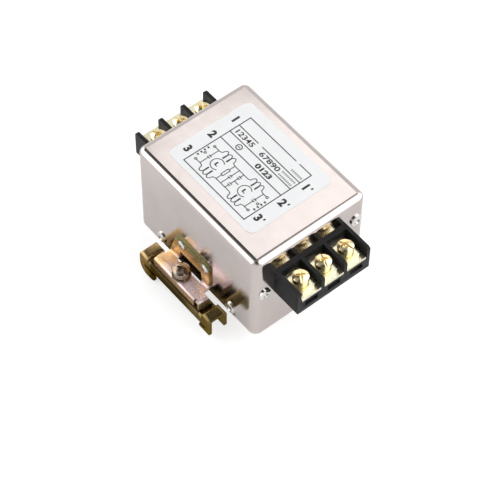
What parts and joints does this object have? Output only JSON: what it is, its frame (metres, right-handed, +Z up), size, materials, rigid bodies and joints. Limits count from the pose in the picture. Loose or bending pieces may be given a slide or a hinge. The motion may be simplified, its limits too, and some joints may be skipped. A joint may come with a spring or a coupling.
{
  "type": "emi line filter",
  "caption": "Metal-cased EMI line filter with a barrier terminal block at each end, a rating label and two screw clips that grip a 35 mm rail.",
  "frame": {"origin": "centre of the box round the part, on its underside, where the hooks stand", "axes": "+X from the line end to the load end, +Y along the rail towards the back clip, +Z up through the label"},
  "size_m": [0.099, 0.074, 0.0571],
  "materials": {
    "can_metal": "smooth bright tinned sheet with a faint haze",
    "bright_screw": "bright nickel plate",
    "label_film": "satin white film with black print",
    "insulator": "pressed board",
    "black_moulding": "black moulding with a low sheen",
    "brass_plate": "pale bright brass",
    "brass_screw": "bright brass with a golden recess",
    "chromate_bracket": "yellow chromate with pink and green tints",
    "chromate_channel": "olive yellow chromate",
    "clamp_steel": "bright plated steel",
    "board_laminate": "green lacquered laminate",
    "ferrite": "dark sintered ferrite",
    "copper_wire": "enamelled copper",
    "yellow_capacitor": "yellow moulded box",
    "blue_capacitor": "blue dipped coating",
    "resistor_body": "lacquered body",
    "lead_wire": "insulated copper wire",
    "earth_wire": "insulated copper wire, green and yellow"
  },
  "bodies": {
    "filter": {"case_can": "can_metal", "base_plate": "can_metal", "base_screws": "bright_screw", "line_block_screws": "bright_screw", "load_block_screws": "bright_screw", "front_rivets": "bright_screw", "back_rivets": "bright_screw", "board_pillars": "bright_screw", "board_screws": "bright_screw", "rating_label": "label_film", "insulating_sheet": "insulator", "line_block_housing": "black_moulding", "load_block_housing": "black_moulding", "line_strip_1": "brass_plate", "line_strip_2": "brass_plate", "line_strip_3": "brass_plate", "load_strip_1": "brass_plate", "load_strip_2": "brass_plate", "load_strip_3": "brass_plate", "line_clamp_plates": "brass_plate", "load_clamp_plates": "brass_plate", "line_spring_washers": "brass_plate", "load_spring_washers": "brass_plate", "line_terminal_screws": "brass_screw", "load_terminal_screws": "brass_screw", "front_bracket": "chromate_bracket", "back_bracket": "chromate_bracket", "front_hook": "chromate_channel", "back_hook": "chromate_channel", "front_nut_plate": "chromate_channel", "back_nut_plate": "chromate_channel", "front_clamp_screw": "clamp_steel", "back_clamp_screw": "clamp_steel", "front_spring_washer": "clamp_steel", "back_spring_washer": "clamp_steel", "front_flat_washer": "clamp_steel", "back_flat_washer": "clamp_steel", "circuit_board": "board_laminate", "input_choke_core": "ferrite", "output_choke_core": "ferrite", "input_winding_a": "copper_wire", "input_winding_b": "copper_wire", "output_winding_a": "copper_wire", "output_winding_b": "copper_wire", "x_capacitor_1": "yellow_capacitor", "x_capacitor_2": "yellow_capacitor", "y_capacitor_1": "blue_capacitor", "y_capacitor_2": "blue_capacitor", "y_capacitor_3": "blue_capacitor", "y_capacitor_4": "blue_capacitor", "bleed_resistor": "resistor_body", "line_leads": "lead_wire", "load_leads": "lead_wire", "earth_lead": "earth_wire"},
    "front_jaw": {"front_jaw": "chromate_channel"},
    "back_jaw": {"back_jaw": "chromate_channel"}
  },
  "joints": [
    {"name": "front_jaw_slide", "type": "slide", "parent": "filter", "child": "front_jaw", "axis": [1, 0, 0], "range_m": [0, 0.004]},
    {"name": "back_jaw_slide", "type": "slide", "parent": "filter", "child": "back_jaw", "axis": [1, 0, 0], "range_m": [0, 0.004]}
  ]
}
